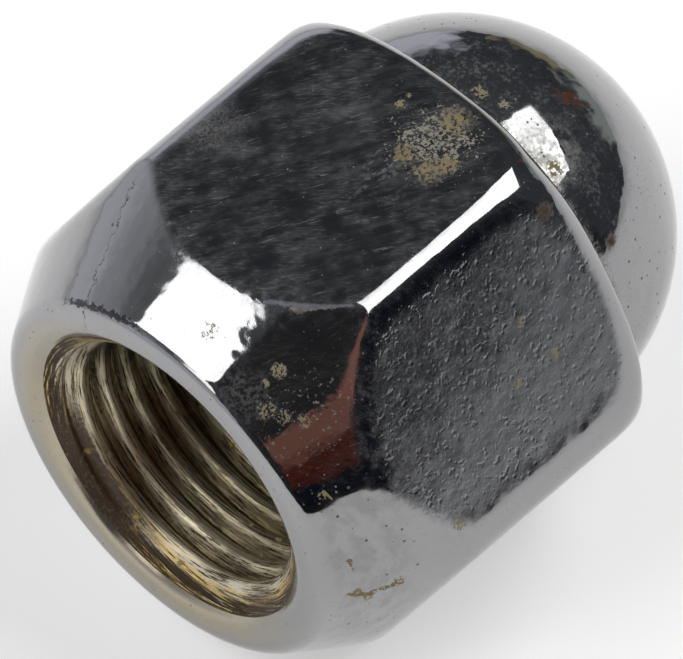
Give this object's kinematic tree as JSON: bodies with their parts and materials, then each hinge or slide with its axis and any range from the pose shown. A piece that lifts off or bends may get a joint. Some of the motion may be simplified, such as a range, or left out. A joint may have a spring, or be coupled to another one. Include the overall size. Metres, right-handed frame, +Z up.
{
  "type": "lug nut",
  "caption": "Chromed closed-end acorn wheel nut with a hexagonal body, a 60 degree conical seat, a domed cap and a blind tapped hole.",
  "frame": {"origin": "centre of the open mouth, on the thread axis; the nut lies on a wrench flat 10.32 mm below the origin", "axes": "+X along the thread axis towards the domed end, +Z up, out of the wrench flat opposite the one it lies on, +Y across two corners of the hexagon"},
  "size_m": [0.0257, 0.0232, 0.0206],
  "materials": {
    "chromed_steel": "worn and pitted bright chrome plate over forged steel"
  },
  "bodies": {
    "root": {"lug_nut": "chromed_steel"}
  },
  "joints": []
}
